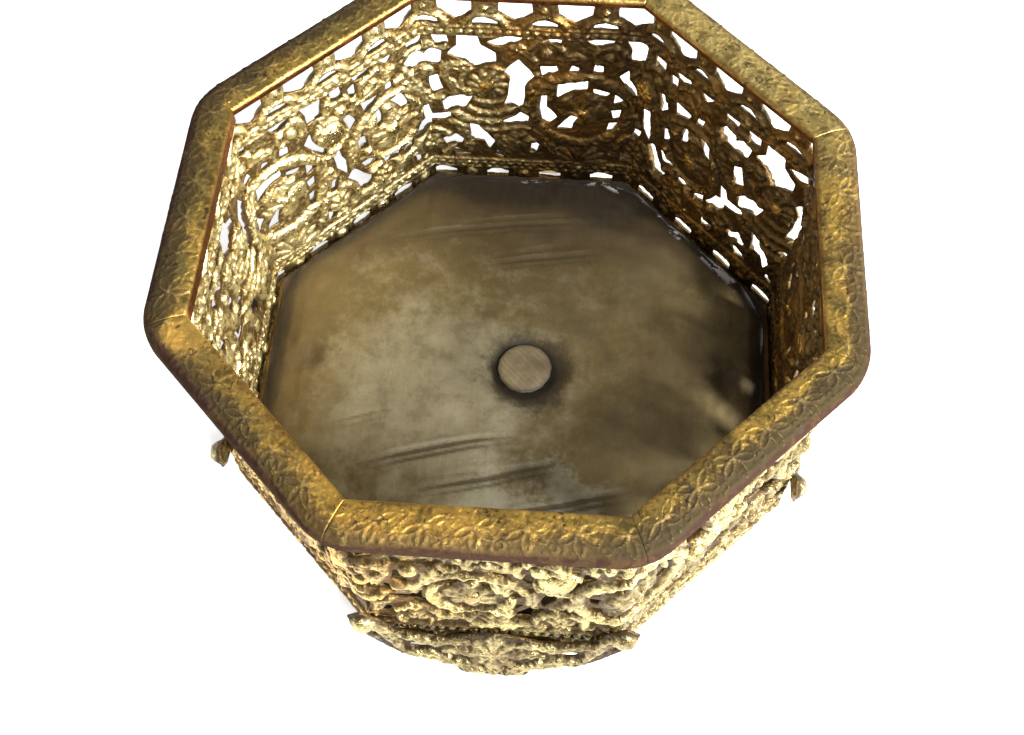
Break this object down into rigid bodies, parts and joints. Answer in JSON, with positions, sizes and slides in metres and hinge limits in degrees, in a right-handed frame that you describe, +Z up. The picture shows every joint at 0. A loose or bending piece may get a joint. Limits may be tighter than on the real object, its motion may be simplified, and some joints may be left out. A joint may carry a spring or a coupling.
{
  "type": "trinket box",
  "caption": "Open octagonal vanity trinket box of pierced gilt brass filigree on bracket feet, with a buttoned satin cushion inside.",
  "frame": {"origin": "centre of the base, on the surface that the feet stand on", "axes": "+Z up, -Y towards the front foot, +X to the right seen from the front"},
  "size_m": [0.1168, 0.1168, 0.062],
  "materials": {
    "rim_brass": "stamped gilt brass, aged, with brown and green tarnish",
    "filigree_brass": "bright gilt on stamped filigree, brown in the hollows",
    "foot_brass": "bright gilt on stamped scrolls, brown in the hollows",
    "base_brass": "plain rolled sheet, dull",
    "card": "grey-brown pulp board",
    "wadding": "cotton wadding",
    "satin": "old ribbed satin, olive beige, soiled towards the edges",
    "button_satin": "twilled satin, paler than the cushion",
    "button_tin": "tinned steel",
    "thread": "waxed cotton thread"
  },
  "bodies": {
    "root": {"rim_length_back_left": "rim_brass", "filigree_panel_back_left": "filigree_brass", "rim_length_back": "rim_brass", "filigree_panel_back": "filigree_brass", "rim_length_back_right": "rim_brass", "filigree_panel_back_right": "filigree_brass", "rim_length_right": "rim_brass", "filigree_panel_right": "filigree_brass", "rim_length_front_right": "rim_brass", "filigree_panel_front_right": "filigree_brass", "rim_length_front": "rim_brass", "filigree_panel_front": "filigree_brass", "rim_length_front_left": "rim_brass", "filigree_panel_front_left": "filigree_brass", "rim_length_left": "rim_brass", "filigree_panel_left": "filigree_brass", "bracket_foot_front": "foot_brass", "bracket_foot_right": "foot_brass", "bracket_foot_back": "foot_brass", "bracket_foot_left": "foot_brass", "base_plate": "base_brass", "cushion_board": "card", "cushion_wadding": "wadding", "cushion_cover": "satin", "button_cloth": "button_satin", "button_shell": "button_tin", "button_back": "button_tin", "tuft_thread": "thread"}
  },
  "joints": []
}
